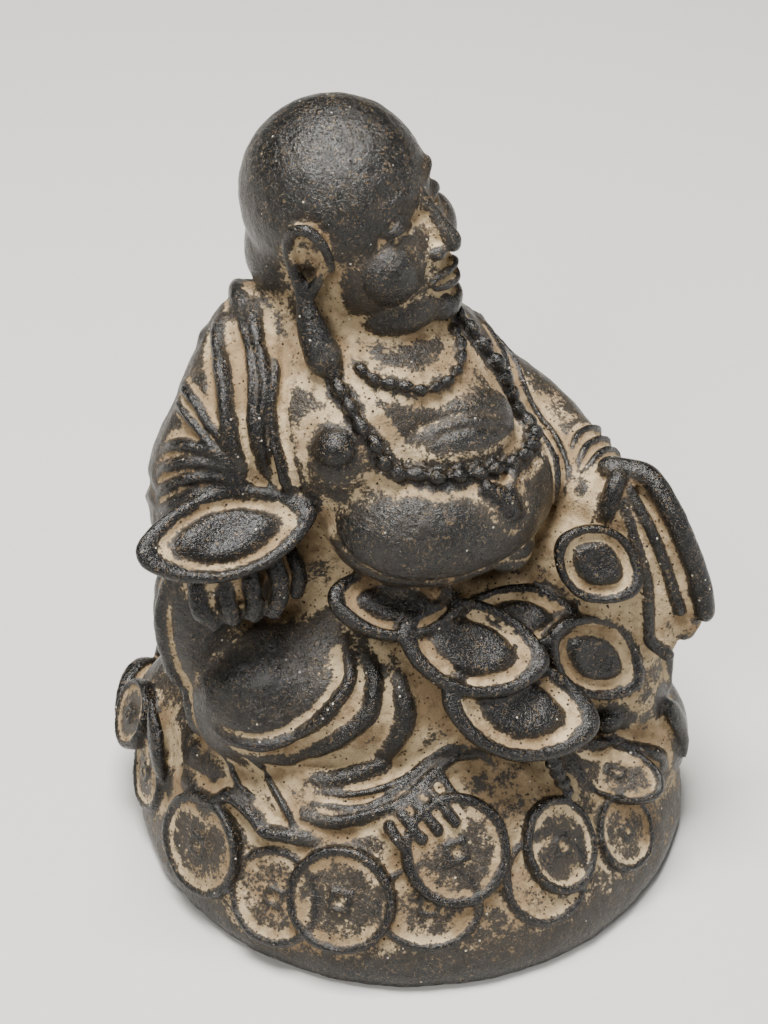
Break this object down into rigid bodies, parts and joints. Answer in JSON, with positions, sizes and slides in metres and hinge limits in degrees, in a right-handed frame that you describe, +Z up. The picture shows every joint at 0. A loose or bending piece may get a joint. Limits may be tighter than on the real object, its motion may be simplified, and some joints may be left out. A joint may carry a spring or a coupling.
{
  "type": "figurine",
  "caption": "Small cast figurine of a seated, round-bellied monk with prayer beads, one hand holding an ingot, on a round mound of coins.",
  "frame": {"origin": "centre of the round foot's underside, on the surface it stands on", "axes": "+Z up, -Y out of the figure's front, so -X is the figure's right"},
  "size_m": [0.107, 0.1092, 0.1401],
  "materials": {
    "waxed_cast_stone": "dark wax on the raised parts, matte earth wash in the hollows"
  },
  "bodies": {
    "root": {"budai_figure": "waxed_cast_stone"}
  },
  "joints": []
}
